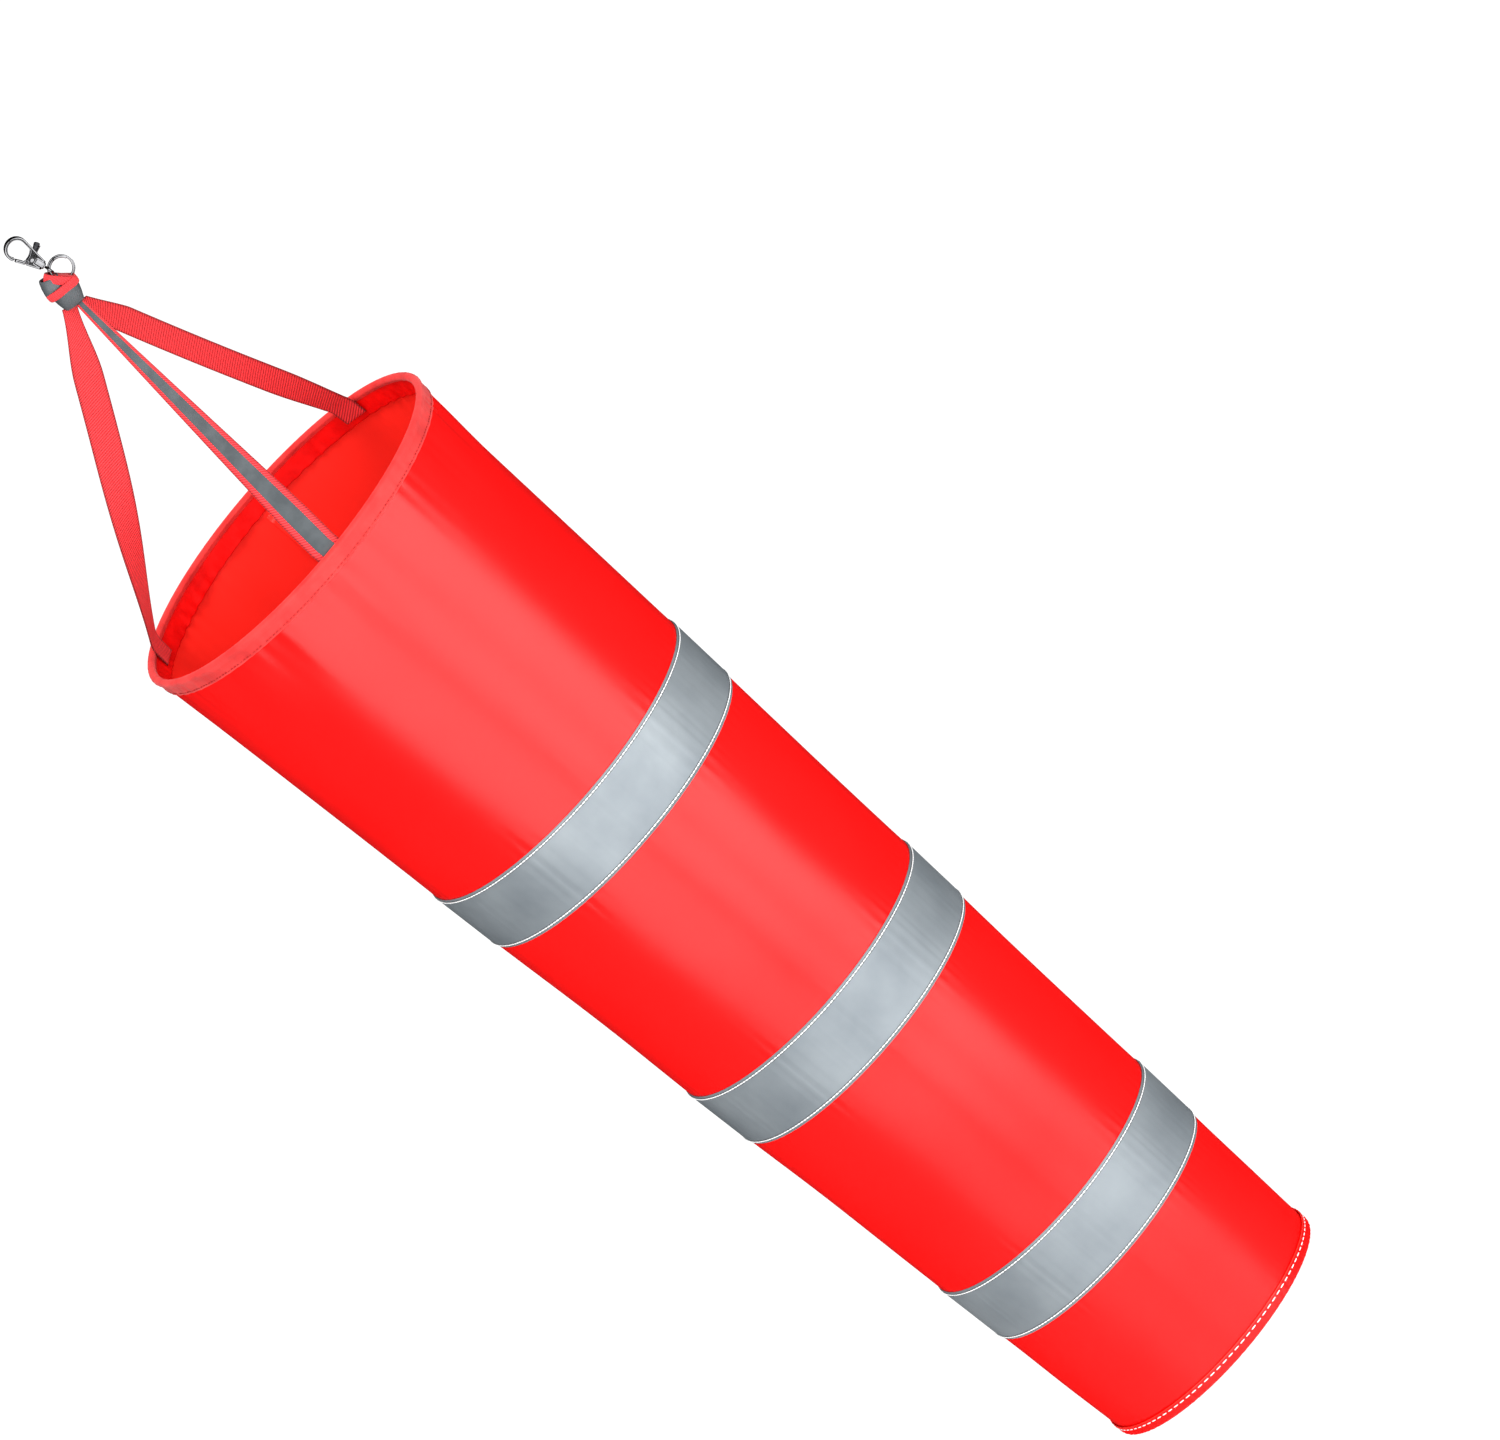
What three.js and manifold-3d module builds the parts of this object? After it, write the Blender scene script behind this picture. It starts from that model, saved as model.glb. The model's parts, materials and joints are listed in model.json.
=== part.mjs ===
// A 40-inch windsock on its bridle, hanging from a lobster-claw hook.
//
// Frame: millimetres, +Z up, origin at the seat of the hook, the point inside the top of its loop
// that bears on whatever holds the windsock. The hook, ring and knot lie in the plane Y = 0.
// The cloth tube is built in its own group, whose origin is the centre of its mouth and whose
// -Z axis runs down the tube; the group is turned a little so that its weight hangs under the ring.

import * as THREE from 'three';
import { mergeVertices } from 'three/addons/utils/BufferGeometryUtils.js';
import Module from 'manifold-3d';

// ---- driving dimensions -------------------------------------------------------------------

const GAP = 0.3;                    // clearance between pieces that touch on the real object

// cloth tube
const SOCK_LENGTH = 1016;
const MOUTH_RADIUS = 158;
const TAIL_RADIUS = 112;
const CLOTH_THICKNESS = 1;
const BAND_HEIGHT = 63;
const BAND_THICKNESS = 0.6;
const BAND_TOPS = [293, 558, 823];  // distances down the tube from the mouth
const AROUND = 48;                  // facets round the tube

// mouth: a wire hoop in the fold of a binding tape
const HOOP_WIRE_RADIUS = 1.3;
const HOOP_RADIUS = 157;
const HOOP_DEPTH = 3.4;
const CHANNEL_RADIUS = 2.5;
const TAPE_THICKNESS = 0.8;
const BINDING_OUTER_LEG = 16;
const BINDING_INNER_LEG = 22;
const CLOTH_TOP = 7;
const FERRULE_RADIUS = 2.1;
const FERRULE_LENGTH = 18;

const TAIL_HEM_LENGTH = 10;
const SEAM_WIDTH = 12;

// bridle: three straps of 25 mm webbing from the knot to the mouth
const STRAP_WIDTH = 25;
const STRAP_NECK_WIDTH = 9;
const STRAP_THICKNESS = 1.6;
const STRAP_SEWN_LENGTH = 28;
const STRAP_OPENING_LENGTH = 70;    // the webbing is folded in the knot and opens out over this length
const STRIPE_SHARE = 0.4;
const STRIPE_THICKNESS = 0.4;
const STRAPS = [                    // side, and degrees round the tube from -Y towards +X
  ['near', 5],
  ['right', 138],
  ['left', 245],
];
const STRAP_LEAN_IN = 3;            // how far a strap stands inside the rim just above the mouth
const STRAP_BEND = 5;               // reach of its bend over the rim, up and down from the mouth
const STRAP_STATIONS = 22;
const SEWN_FLARE = 0.05;            // outward lean of its sewn end
const KNOT_EXIT = new THREE.Vector3(27.8, 0, 246);
const KNOT_EXIT_RADIUS = 4.2;

// split ring
const RING_RADIUS = 9.7;
const RING_WIRE_RADIUS = 1.4;
const RING_CONTACT_ANGLE = 139;     // where the swivel's eye holds it, from +X towards +Z
const RING_GROOVE = 0.35;
const RING_IN_SOCK = new THREE.Vector3(41.8, 0, 276);

// knot, about the ring's centre: its face in X and Z, and half its section in Y and Z
const TUNNEL_RADIUS = 2;
const KNOT_DEPTH = 17;
const KNOT_BEVEL = 1.5;
const KNOT_FACE = [
  [-12.5, 4], [-19, 2], [-24, -9], [-21.5, -14], [-20.5, -29.5],
  [-6.5, -29.5], [-3, -14], [4, -12], [1, -8], [-5.5, 0],
];
const KNOT_HALF_SECTION = [
  [3.8, 5], [KNOT_DEPTH / 2, -8], [KNOT_DEPTH / 2 - 1, -14], [KNOT_DEPTH / 2 - 2.2, -30],
];

// lobster-claw hook, in its own frame: loop centre at the origin, swivel axis down -Z
const HOOK_TILT = 12;
const LOOP_OUTER = 10;
const LOOP_INNER = 7.4;
const HOOK_THICKNESS = 6;
const HOOK_BEVEL = 0.8;
const SHOULDER_ANGLE = -15;         // where the loop's round meets the straight taper
const SHOULDER_WIDENING = 0.4;      // the taper's half width beyond the loop, at the loop's centre
const BARREL_WIDENING = 0.6;        // and beyond the barrel, at the hook's bottom
const LOOP_FLOOR = [[-5.2, -11], [0, -13], [5.2, -10]];
const BARREL_RADIUS = 4;
const BARREL_TOP = 18;
const HOOK_BOTTOM = 25.5;
const SLOT_TOP = 8.5;
const SLOT_BOTTOM = 19.1;
const SLOT_WIDTH = 3.4;
const GATE_SIDE = [[-12, -2], [-5.4, -3.2], [-3.4, -11.2], [-3.4, -13.4], [-12, -13.7]];
const PIN = new THREE.Vector2(-1, -15);
const PIN_RADIUS = 0.8;
const HUB_RADIUS = 2.7;
const LEVER_THICKNESS = 1.6;
const GATE_ARM = [[-9.4, -4.7], [-7.1, -3.8], [-5.4, -9], [-5, -12.2], [-7.24, -12.2]];
const GATE_NECK = [[-6.9, -10.4], [-4.6, -10.4], [-1.6, -12.7], [-1.6, -17.2], [-6.2, -13.4]];
const THUMB_TAB = [
  [-1, -12.8], [5, -11.8], [7.2, -12], [9.2, -10.4], [13, -11.2],
  [12.2, -15.2], [8, -15.6], [4, -16], [0, -17.4],
];
const PIN_HEAD_RADIUS = 1.6;
const PIN_HEAD_HEIGHT = 0.6;
const SPRING_WIRE_RADIUS = 0.2;
const SPRING_PITCH = 0.35;
const SPRING_TURNS = 1.5;

// swivel: a headed shank in the barrel, with the eye below it
const SHANK_RADIUS = 1.4;
const SHANK_HEAD_RADIUS = 2.4;
const SHANK_HEAD_TOP = 19.9;
const SHANK_HEAD_BOTTOM = 22.1;
const POCKET_CLEARANCE = 0.4;
const FLANGE_RADIUS = 2.7;
const FLANGE_HEIGHT = 1;
const EYE_INNER = 3.4;
const EYE_WIRE_RADIUS = 0.9;
const WIRE_BELOW_EYE_CENTRE = 0.5;
const FLANGE_TOP = HOOK_BOTTOM + GAP;
const EYE_DEPTH = FLANGE_TOP + FLANGE_HEIGHT + EYE_INNER + EYE_WIRE_RADIUS;

const HANG_ANGLE = 3.462;            // turn of the cloth tube that brings its weight under the ring

// ---- materials ----------------------------------------------------------------------------

const finish = (color, roughness, metalness) =>
  new THREE.MeshStandardMaterial({ color, roughness, metalness });

const RED_CLOTH = finish(0xe8140e, 0.55, 0);
const RED_TAPE = finish(0xf0403a, 0.65, 0);
const RED_WEBBING = finish(0xd8202a, 0.8, 0);
const REFLECTIVE = finish(0x9aa0a6, 0.45, 0.3);
const GREY_STRIPE = finish(0x585c60, 0.5, 0.2);
const CHROME = finish(0xd8dadc, 0.15, 1);
const STEEL = finish(0x8c9094, 0.4, 1);

// ---- helpers ------------------------------------------------------------------------------

const wasm = await Module();
wasm.setup();

const radians = THREE.MathUtils.degToRad;

/** A closed geometry as a manifold-3d solid. */
function solidOf(geometry) {
  const bare = geometry.clone();
  bare.deleteAttribute('normal');
  bare.deleteAttribute('uv');
  const merged = mergeVertices(bare, 1e-4);
  return new wasm.Manifold(new wasm.Mesh({
    numProp: 3,
    vertProperties: new Float32Array(merged.attributes.position.array),
    triVerts: new Uint32Array(merged.index.array),
  }));
}

/** A manifold-3d solid as a geometry. */
function geometryOf(solid) {
  const mesh = solid.getMesh();
  const geometry = new THREE.BufferGeometry();
  geometry.setAttribute('position', new THREE.BufferAttribute(new Float32Array(mesh.vertProperties), 3));
  geometry.setIndex(new THREE.BufferAttribute(new Uint32Array(mesh.triVerts), 1));
  return geometry;
}

const join = (...geometries) =>
  geometryOf(geometries.map(solidOf).reduce((whole, piece) => whole.add(piece)));

const cut = (geometry, ...cutters) =>
  geometryOf(cutters.map(solidOf).reduce((rest, cutter) => rest.subtract(cutter), solidOf(geometry)));

const overlap = (first, second) => geometryOf(solidOf(first).intersect(solidOf(second)));

/** A closed profile of [radius, height] points turned about Z. */
function turned(profile, segments = AROUND) {
  const points = [...profile, profile[0]].map(([radius, height]) => new THREE.Vector2(radius, height));
  return new THREE.LatheGeometry(points, segments).rotateX(Math.PI / 2);
}

/** An outline in X and Z, extruded through Y and centred on y. */
function plate(outline, thickness, y = 0, bevel = 0) {
  const geometry = new THREE.ExtrudeGeometry(outline, {
    depth: thickness - 2 * bevel,
    curveSegments: 12,
    bevelEnabled: bevel > 0,
    bevelThickness: bevel,
    bevelSize: bevel,
    bevelOffset: -bevel,
    bevelSegments: 2,
  });
  return geometry.rotateX(Math.PI / 2).translate(0, y + thickness / 2 - bevel, 0);
}

/** An outline through the given [x, z] points. */
const outlineOf = (points) => new THREE.Shape(points.map(([x, z]) => new THREE.Vector2(x, z)));

/** A cylinder along Y. */
const pegAlongY = (radius, length, x, z, y = 0, sides = 20) =>
  new THREE.CylinderGeometry(radius, radius, length, sides).translate(x, y, z);

/** A cylinder along Z between two heights. */
const pegAlongZ = (radius, top, bottom, sides = 24) =>
  new THREE.CylinderGeometry(radius, radius, top - bottom, sides)
    .rotateX(Math.PI / 2).translate(0, 0, (top + bottom) / 2);

/** A flat ribbon through stations {centre, across, out, width, thickness}, closed at both ends. */
function ribbon(stations) {
  const corners = [[-0.5, -0.5], [0.5, -0.5], [0.5, 0.5], [-0.5, 0.5]];
  const positions = stations.flatMap(({ centre, across, out, width, thickness }) =>
    corners.flatMap(([u, v]) => centre.clone()
      .addScaledVector(across, u * width)
      .addScaledVector(out, v * thickness)
      .toArray()));
  const index = [];
  const quad = (a, b, c, d) => index.push(a, b, c, a, c, d);
  for (let i = 0; i + 1 < stations.length; i += 1) {
    for (let side = 0; side < 4; side += 1) {
      const next = (side + 1) % 4;
      quad(4 * i + side, 4 * i + next, 4 * i + 4 + next, 4 * i + 4 + side);
    }
  }
  const last = 4 * (stations.length - 1);
  quad(3, 2, 1, 0);
  quad(last, last + 1, last + 2, last + 3);
  const geometry = new THREE.BufferGeometry();
  geometry.setAttribute('position', new THREE.Float32BufferAttribute(positions, 3));
  geometry.setIndex(index);
  return geometry;
}

function named(name, geometry, material) {
  const mesh = new THREE.Mesh(geometry, material);
  mesh.name = name;
  return mesh;
}

// ---- cloth tube ---------------------------------------------------------------------------

/** Outer radius of the cloth at a distance down the tube. */
const clothRadius = (down) => MOUTH_RADIUS + (TAIL_RADIUS - MOUTH_RADIUS) * down / SOCK_LENGTH;

/** A conical shell that follows the cloth between two distances down the tube. */
function coneShell(top, bottom, outerOffset, thickness) {
  const outer = (down) => [clothRadius(down) + outerOffset, -down];
  const inner = (down) => [clothRadius(down) + outerOffset - thickness, -down];
  return turned([outer(bottom), outer(top), inner(top), inner(bottom)]);
}

function sockCloth() {
  return coneShell(CLOTH_TOP, SOCK_LENGTH - 1, 0, CLOTH_THICKNESS);
}

function reflectiveBand(top) {
  return coneShell(top, top + BAND_HEIGHT, GAP + BAND_THICKNESS, BAND_THICKNESS);
}

/** Points of an arc over the hoop, from one side of the binding's channel to the other. */
function arcOverHoop(radius, from, to, steps = 6) {
  return Array.from({ length: steps + 1 }, (_, i) => {
    const angle = radians(from + (to - from) * i / steps);
    return [HOOP_RADIUS + radius * Math.cos(angle), -HOOP_DEPTH + radius * Math.sin(angle)];
  });
}

/** The binding tape folded over the hoop, open at its lower edge. */
function mouthBinding() {
  const foot = -20;
  const outside = (down) => clothRadius(down) + GAP;
  const inside = (down) => clothRadius(down) - CLOTH_THICKNESS - GAP;
  return turned([
    [outside(BINDING_OUTER_LEG), -BINDING_OUTER_LEG],
    [outside(BINDING_OUTER_LEG) + TAPE_THICKNESS, -BINDING_OUTER_LEG],
    ...arcOverHoop(CHANNEL_RADIUS + TAPE_THICKNESS, foot, 180 - foot),
    [inside(BINDING_INNER_LEG) - TAPE_THICKNESS, -BINDING_INNER_LEG],
    [inside(BINDING_INNER_LEG), -BINDING_INNER_LEG],
    ...arcOverHoop(CHANNEL_RADIUS, 180 - foot, foot),
  ]);
}

/** A round wire section, or a tube wall section, bent round the mouth. */
function roundSection(radius, sides = 8) {
  return Array.from({ length: sides }, (_, i) => {
    const angle = 2 * Math.PI * (i + 0.5) / sides;
    return [HOOP_RADIUS + radius * Math.cos(angle), -HOOP_DEPTH + radius * Math.sin(angle)];
  });
}

/** The crimped tube over the hoop's ends, along one facet of the hoop. */
function hoopFerrule() {
  const length = FERRULE_LENGTH;
  const wall = cut(
    pegAlongZ(FERRULE_RADIUS, length / 2, -length / 2, 12),
    pegAlongZ(HOOP_WIRE_RADIUS + GAP, length, -length, 12),
  );
  const halfFacet = Math.PI / AROUND;
  return wall.rotateY(Math.PI / 2)
    .translate(0, HOOP_RADIUS * Math.cos(halfFacet), -HOOP_DEPTH)
    .rotateZ(halfFacet);
}

/** The tail's hem: the cloth edge folded back on both faces. */
function tailHem() {
  const start = SOCK_LENGTH - TAIL_HEM_LENGTH;
  const outer = GAP + TAPE_THICKNESS;
  const inner = CLOTH_THICKNESS + GAP + TAPE_THICKNESS;
  return turned([
    [clothRadius(start) + GAP, -start],
    [clothRadius(SOCK_LENGTH - GAP) + GAP, -(SOCK_LENGTH - 1 + GAP)],
    [clothRadius(SOCK_LENGTH) - CLOTH_THICKNESS - GAP, -(SOCK_LENGTH - 1 + GAP)],
    [clothRadius(start) - CLOTH_THICKNESS - GAP, -start],
    [clothRadius(start) - inner, -start],
    [clothRadius(SOCK_LENGTH) - inner, -SOCK_LENGTH],
    [clothRadius(SOCK_LENGTH) + outer, -SOCK_LENGTH],
    [clothRadius(start) + outer, -start],
  ]);
}

/** The lapped seam allowance inside the far side of the tube. */
function sideSeam() {
  const across = new THREE.Vector3(1, 0, 0);
  const out = new THREE.Vector3(0, 1, 0);
  const depth = CLOTH_THICKNESS + 3 * GAP + TAPE_THICKNESS / 2;
  const ends = [SOCK_LENGTH - TAIL_HEM_LENGTH - 2, BINDING_INNER_LEG + 2];
  return ribbon(ends.map((down) => ({
    centre: new THREE.Vector3(0, clothRadius(down) - depth, -down),
    across,
    out,
    width: SEAM_WIDTH,
    thickness: TAPE_THICKNESS,
  })));
}

// ---- bridle -------------------------------------------------------------------------------

/** Radius of a strap's mid surface where it bends over the rim: a flat strap stands off the round binding. */
const STRAP_RIM_RADIUS = HOOP_RADIUS - CHANNEL_RADIUS - TAPE_THICKNESS - STRAP_THICKNESS / 2
  - STRAP_WIDTH ** 2 / (8 * MOUTH_RADIUS) - 2 * GAP;

/** Stations of a strap at an angle round the tube, measured from -Y towards +X. */
function strapStations(angle) {
  const radial = new THREE.Vector3(Math.sin(radians(angle)), -Math.cos(radians(angle)), 0);
  const around = new THREE.Vector3(Math.cos(radians(angle)), Math.sin(radians(angle)), 0);
  const sewnRadius = (down) => STRAP_RIM_RADIUS + SEWN_FLARE * down;
  const onTube = (radius, down) => radial.clone().multiplyScalar(radius).setZ(-down);
  const start = KNOT_EXIT.clone().addScaledVector(radial, KNOT_EXIT_RADIUS).setZ(KNOT_EXIT.z - 2 * GAP);
  const rim = onTube(STRAP_RIM_RADIUS - STRAP_LEAN_IN, -STRAP_BEND);
  const bend = onTube(sewnRadius(STRAP_BEND), STRAP_BEND);
  const route = new THREE.CurvePath();
  route.add(new THREE.LineCurve3(start, rim));
  route.add(new THREE.QuadraticBezierCurve3(rim, onTube(STRAP_RIM_RADIUS, 0), bend));
  route.add(new THREE.LineCurve3(bend, onTube(sewnRadius(STRAP_SEWN_LENGTH), STRAP_SEWN_LENGTH)));
  const length = route.getLength();
  return Array.from({ length: STRAP_STATIONS + 1 }, (_, i) => {
    const t = i / STRAP_STATIONS;
    const centre = route.getPointAt(t);
    const along = route.getTangentAt(t);
    const across = around.clone().addScaledVector(along, -around.dot(along)).normalize();
    const out = new THREE.Vector3().crossVectors(across, along).normalize();
    const opened = THREE.MathUtils.smoothstep(t * length, 0, STRAP_OPENING_LENGTH);
    const width = THREE.MathUtils.lerp(STRAP_NECK_WIDTH, STRAP_WIDTH, opened);
    return { centre, across, out, width, thickness: STRAP_THICKNESS };
  });
}

function strap(angle) {
  return ribbon(strapStations(angle).reverse());
}

/** The reflective stripe down the middle of a strap's outer face, as far as the mouth. */
function strapStripe(angle) {
  const lift = STRAP_THICKNESS / 2 + GAP + STRIPE_THICKNESS / 2;
  return ribbon(strapStations(angle).filter(({ centre }) => centre.z > STRAP_BEND + 1).map((station) => ({
    ...station,
    centre: station.centre.clone().addScaledVector(station.out, lift),
    width: station.width * STRIPE_SHARE,
    thickness: STRIPE_THICKNESS,
  })).reverse());
}

/** The knot of the three straps round the ring, with a tunnel that the ring can slide in. */
function bridleKnot() {
  const otherHalf = KNOT_HALF_SECTION.map(([y, z]) => [-y, z]).reverse();
  const side = outlineOf([...KNOT_HALF_SECTION, ...otherHalf]);
  const sideways = new THREE.ExtrudeGeometry(side, { depth: 40, bevelEnabled: false })
    .rotateX(Math.PI / 2).rotateZ(Math.PI / 2).translate(-30, 0, 0);
  const tunnel = new THREE.TorusGeometry(RING_RADIUS, TUNNEL_RADIUS, 8, 40).rotateX(Math.PI / 2);
  return cut(overlap(plate(outlineOf(KNOT_FACE), KNOT_DEPTH + 2, 0, KNOT_BEVEL), sideways), tunnel);
}

// ---- hardware -----------------------------------------------------------------------------

/** The split ring: two turns of flat wire, seen as a groove round a single ring. */
function splitRing() {
  const r = RING_WIRE_RADIUS;
  const groove = RING_GROOVE;
  return turned([
    [RING_RADIUS - r * 0.6, -r], [RING_RADIUS + r * 0.6, -r], [RING_RADIUS + r, -r * 0.6],
    [RING_RADIUS + r, -groove], [RING_RADIUS + r - groove, 0], [RING_RADIUS + r, groove],
    [RING_RADIUS + r, r * 0.6], [RING_RADIUS + r * 0.6, r], [RING_RADIUS - r * 0.6, r],
    [RING_RADIUS - r, r * 0.6], [RING_RADIUS - r, -r * 0.6],
  ], 40).rotateX(Math.PI / 2);
}

/** Half the width of the hook's tapering outline at a depth below the loop's centre. */
function hookHalfWidth(depth) {
  const top = LOOP_OUTER + SHOULDER_WIDENING;
  const bottom = BARREL_RADIUS + SHOULDER_WIDENING - BARREL_WIDENING;
  return THREE.MathUtils.lerp(top, bottom, depth / HOOK_BOTTOM);
}

/** The hook's outline: a round loop that tapers to the barrel. */
function hookOutline() {
  const outline = new THREE.Shape();
  const shoulder = radians(SHOULDER_ANGLE);
  outline.absarc(0, 0, LOOP_OUTER, shoulder, Math.PI - shoulder, false);
  outline.lineTo(-hookHalfWidth(HOOK_BOTTOM - 1), -HOOK_BOTTOM + 1);
  outline.lineTo(hookHalfWidth(HOOK_BOTTOM - 1), -HOOK_BOTTOM + 1);
  return outline;
}

/** The opening inside the loop, down to the shoulders above the pin. */
function loopOpening() {
  const opening = new THREE.Shape();
  const [left, middle, right] = LOOP_FLOOR;
  opening.absarc(0, 0, LOOP_INNER, radians(SHOULDER_ANGLE), radians(180 - SHOULDER_ANGLE), false);
  opening.lineTo(...left);
  opening.quadraticCurveTo(...middle, ...right);
  return opening;
}

/** The hook's casting, cut away on the gate's side and slotted for the lever. */
function hookBody() {
  const through = HOOK_THICKNESS + 4;
  const slot = new THREE.BoxGeometry(30, SLOT_WIDTH, SLOT_BOTTOM - SLOT_TOP)
    .translate(0, 0, -(SLOT_TOP + SLOT_BOTTOM) / 2);
  const pocket = pegAlongZ(SHANK_HEAD_RADIUS + POCKET_CLEARANCE,
    -SHANK_HEAD_TOP + POCKET_CLEARANCE, -SHANK_HEAD_BOTTOM - POCKET_CLEARANCE);
  return cut(
    join(
      plate(hookOutline(), HOOK_THICKNESS, 0, HOOK_BEVEL),
      pegAlongZ(BARREL_RADIUS, -BARREL_TOP, -HOOK_BOTTOM),
    ),
    plate(loopOpening(), through),
    plate(outlineOf(GATE_SIDE), through),
    slot,
    pegAlongY(PIN_RADIUS + GAP, through, PIN.x, PIN.y),
    pocket,
    pegAlongZ(SHANK_RADIUS + GAP, -SHANK_HEAD_BOTTOM + 1, -HOOK_BOTTOM - 2),
  );
}

/** The gate, its hub on the pin and the thumb tab that comes out through the spine. */
function hookGate() {
  const lever = -(SLOT_WIDTH / 2 - GAP - LEVER_THICKNESS / 2);
  const body = join(
    plate(outlineOf(GATE_ARM), HOOK_THICKNESS - 1, 0, 0.5),
    plate(outlineOf(GATE_NECK), LEVER_THICKNESS, lever),
    plate(outlineOf(THUMB_TAB), LEVER_THICKNESS, lever),
    pegAlongY(HUB_RADIUS, LEVER_THICKNESS, PIN.x, PIN.y, lever),
  );
  return cut(body, pegAlongY(PIN_RADIUS + GAP, HOOK_THICKNESS, PIN.x, PIN.y));
}

function gatePin() {
  const outside = HOOK_THICKNESS / 2 + GAP + PIN_HEAD_HEIGHT / 2;
  return join(
    pegAlongY(PIN_RADIUS, 2 * outside, PIN.x, PIN.y),
    pegAlongY(PIN_HEAD_RADIUS, PIN_HEAD_HEIGHT, PIN.x, PIN.y, outside),
    pegAlongY(PIN_HEAD_RADIUS, PIN_HEAD_HEIGHT, PIN.x, PIN.y, -outside),
  );
}

/** The spring's coil on the pin, between the lever and the far cheek. */
function gateSpring() {
  class Coil extends THREE.Curve {
    getPoint(t, target = new THREE.Vector3()) {
      const angle = 2 * Math.PI * SPRING_TURNS * t;
      const radius = PIN_RADIUS + GAP + SPRING_WIRE_RADIUS + 0.1;
      return target.set(
        PIN.x + radius * Math.cos(angle),
        SLOT_WIDTH / 2 - GAP - SPRING_WIRE_RADIUS - SPRING_PITCH * SPRING_TURNS * (1 - t),
        PIN.y + radius * Math.sin(angle),
      );
    }
  }
  const section = new THREE.Shape().absarc(0, 0, SPRING_WIRE_RADIUS, 0, 2 * Math.PI);
  return new THREE.ExtrudeGeometry(section, {
    steps: 24, curveSegments: 3, extrudePath: new Coil(), bevelEnabled: false,
  });
}

/** The headed shank that turns in the barrel, its flange and the eye that holds the ring. */
function swivelEye() {
  return join(
    pegAlongZ(SHANK_HEAD_RADIUS, -SHANK_HEAD_TOP, -SHANK_HEAD_BOTTOM),
    pegAlongZ(SHANK_RADIUS, -SHANK_HEAD_BOTTOM + 0.5, -FLANGE_TOP - 0.5),
    pegAlongZ(FLANGE_RADIUS, -FLANGE_TOP, -FLANGE_TOP - FLANGE_HEIGHT),
    new THREE.TorusGeometry(EYE_INNER + EYE_WIRE_RADIUS, EYE_WIRE_RADIUS, 8, 28)
      .rotateY(Math.PI / 2).translate(0, 0, -EYE_DEPTH),
  );
}

// ---- assembly -----------------------------------------------------------------------------

/** The hook and swivel, leaning so that the swivel's eye comes beside the ring. */
function hookGroup() {
  const group = new THREE.Group();
  group.position.set(0, 0, -LOOP_INNER);
  group.rotation.y = -radians(HOOK_TILT);
  group.add(
    named('hook_body', hookBody(), CHROME),
    named('hook_gate', hookGate(), CHROME),
    named('gate_pin', gatePin(), STEEL),
    named('gate_spring', gateSpring(), STEEL),
    named('swivel_eye', swivelEye(), CHROME),
  );
  return group;
}

/** Centre of the ring, which passes through the eye at its contact angle. */
function ringCentre() {
  const depth = EYE_DEPTH + WIRE_BELOW_EYE_CENTRE;
  const contact = radians(RING_CONTACT_ANGLE);
  return new THREE.Vector3(
    depth * Math.sin(radians(HOOK_TILT)) - RING_RADIUS * Math.cos(contact),
    0,
    -LOOP_INNER - depth * Math.cos(radians(HOOK_TILT)) - RING_RADIUS * Math.sin(contact),
  );
}

/** The bridle and the cloth tube, turned about the ring's centre so that they hang plumb. */
function sockGroup(centre) {
  const group = new THREE.Group();
  const inner = new THREE.Group();
  group.position.copy(centre);
  group.rotation.y = -radians(HANG_ANGLE);
  inner.position.copy(RING_IN_SOCK).negate();
  group.add(inner);
  const knot = named('bridle_knot', bridleKnot(), RED_WEBBING);
  knot.position.copy(RING_IN_SOCK);
  inner.add(knot);
  for (const [side, angle] of STRAPS) {
    inner.add(named(`strap_${side}`, strap(angle), RED_WEBBING));
    inner.add(named(`strap_${side}_stripe`, strapStripe(angle), GREY_STRIPE));
  }
  inner.add(
    named('mouth_hoop', turned(roundSection(HOOP_WIRE_RADIUS)), STEEL),
    named('hoop_ferrule', hoopFerrule(), STEEL),
    named('mouth_binding', mouthBinding(), RED_TAPE),
    named('sock_cloth', sockCloth(), RED_CLOTH),
    named('side_seam', sideSeam(), RED_CLOTH),
    named('tail_hem', tailHem(), RED_CLOTH),
  );
  BAND_TOPS.forEach((top, i) => {
    inner.add(named(`reflective_band_${i + 1}`, reflectiveBand(top), REFLECTIVE));
  });
  return group;
}

const windsock = new THREE.Group();
const centre = ringCentre();
const ring = named('split_ring', splitRing(), CHROME);
ring.position.copy(centre);
windsock.add(hookGroup(), ring, sockGroup(centre));

export default windsock;
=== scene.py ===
"""Looks of a 40-inch windsock that hangs from its snap hook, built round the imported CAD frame.

Lengths in the shape code are millimetres. The tube's pieces are made in the tube's own frame, with its
origin at the centre of the mouth and its -Z axis running down the tube, and then set in place.
"""

import json
import math

import bpy
import numpy as np
from mathutils import Matrix, Vector


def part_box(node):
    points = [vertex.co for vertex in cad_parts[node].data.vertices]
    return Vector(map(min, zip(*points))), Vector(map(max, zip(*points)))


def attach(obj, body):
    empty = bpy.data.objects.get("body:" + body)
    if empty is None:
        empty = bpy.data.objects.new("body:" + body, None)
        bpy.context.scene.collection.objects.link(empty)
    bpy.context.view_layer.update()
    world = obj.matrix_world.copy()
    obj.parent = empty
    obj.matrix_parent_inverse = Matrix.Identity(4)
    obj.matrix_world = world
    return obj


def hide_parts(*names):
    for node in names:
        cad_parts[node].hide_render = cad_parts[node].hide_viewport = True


MM = 0.001

# ---- driving dimensions, as in the CAD model ----------------------------------------------------

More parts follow.
